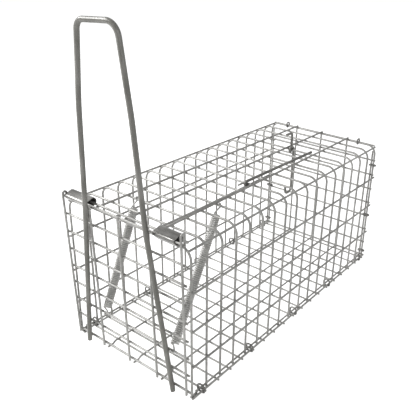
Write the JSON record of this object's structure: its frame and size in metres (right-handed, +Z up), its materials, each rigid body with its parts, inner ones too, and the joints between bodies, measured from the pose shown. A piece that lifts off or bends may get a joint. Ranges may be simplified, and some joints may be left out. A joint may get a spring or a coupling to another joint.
{
  "type": "rat trap",
  "caption": "Wire cage rat trap with a sprung inward-closing door, a looped lever that opens it, and a bait hook and latch rod on its roof.",
  "frame": {"origin": "middle of the bounding box's footprint, on the plane that the floor's cross wires stand on", "axes": "+X to the right of the door as seen from in front, +Y from the door to the back panel, +Z up"},
  "size_m": [0.166, 0.3674, 0.3325],
  "materials": {
    "mesh_wire": "galvanised, dull",
    "ring_wire": "galvanised, dull",
    "clip_sheet": "galvanised sheet, satin",
    "door_wire": "galvanised, dull",
    "lever_bar": "drawn bar, satin",
    "latch_wire": "drawn wire, satin",
    "latch_bar": "drawn bar, dark",
    "bait_wire": "galvanised, dull",
    "spring_wire": "drawn spring wire, satin"
  },
  "bodies": {
    "cage": {"front_hoop": "mesh_wire", "sleeve_hoops": "mesh_wire", "roof_wires": "mesh_wire", "left_side_wires": "mesh_wire", "right_side_wires": "mesh_wire", "floor_cross_wires": "mesh_wire", "floor_long_wires": "mesh_wire", "floor_edge_wire": "mesh_wire", "back_uprights": "mesh_wire", "back_cross_wires": "mesh_wire", "left_rings": "ring_wire", "right_rings": "ring_wire", "back_rings": "ring_wire", "hinge_rod": "mesh_wire", "left_hinge_clip": "clip_sheet", "right_hinge_clip": "clip_sheet", "left_spring": "spring_wire", "right_spring": "spring_wire"},
    "door": {"door_hinge_wire": "door_wire", "door_uprights": "door_wire", "door_cross_wires": "door_wire", "lever": "lever_bar"},
    "anchor": {"latch_anchor": "latch_wire"},
    "latch": {"latch_rod": "latch_bar"},
    "bait": {"bait_hook": "bait_wire"}
  },
  "joints": [
    {"name": "door_hinge", "type": "hinge", "parent": "cage", "child": "door", "pos_m": [0, -0.17166, 0.16392], "axis": [-1, 0, 0], "range_deg": [0, 91], "stiffness_Nm_per_rad": 0.6, "springref_deg": -68.75, "deforming": ["left_spring", "right_spring"]},
    {"name": "anchor_swing", "type": "hinge", "parent": "cage", "child": "anchor", "pos_m": [0.0402, -0.16616, 0.16219], "axis": [0, 0.0198, 0.9998], "range_deg": [0, 7]},
    {"name": "latch_lift", "type": "hinge", "parent": "anchor", "child": "latch", "pos_m": [0.0347, -0.03264, 0.16204], "axis": [1, 0, 0], "range_deg": [0, 110]},
    {"name": "bait_swing", "type": "hinge", "parent": "cage", "child": "bait", "pos_m": [0.0045, 0.09772, 0.1579], "axis": [1, 0, 0], "range_deg": [-20, 20]}
  ]
}
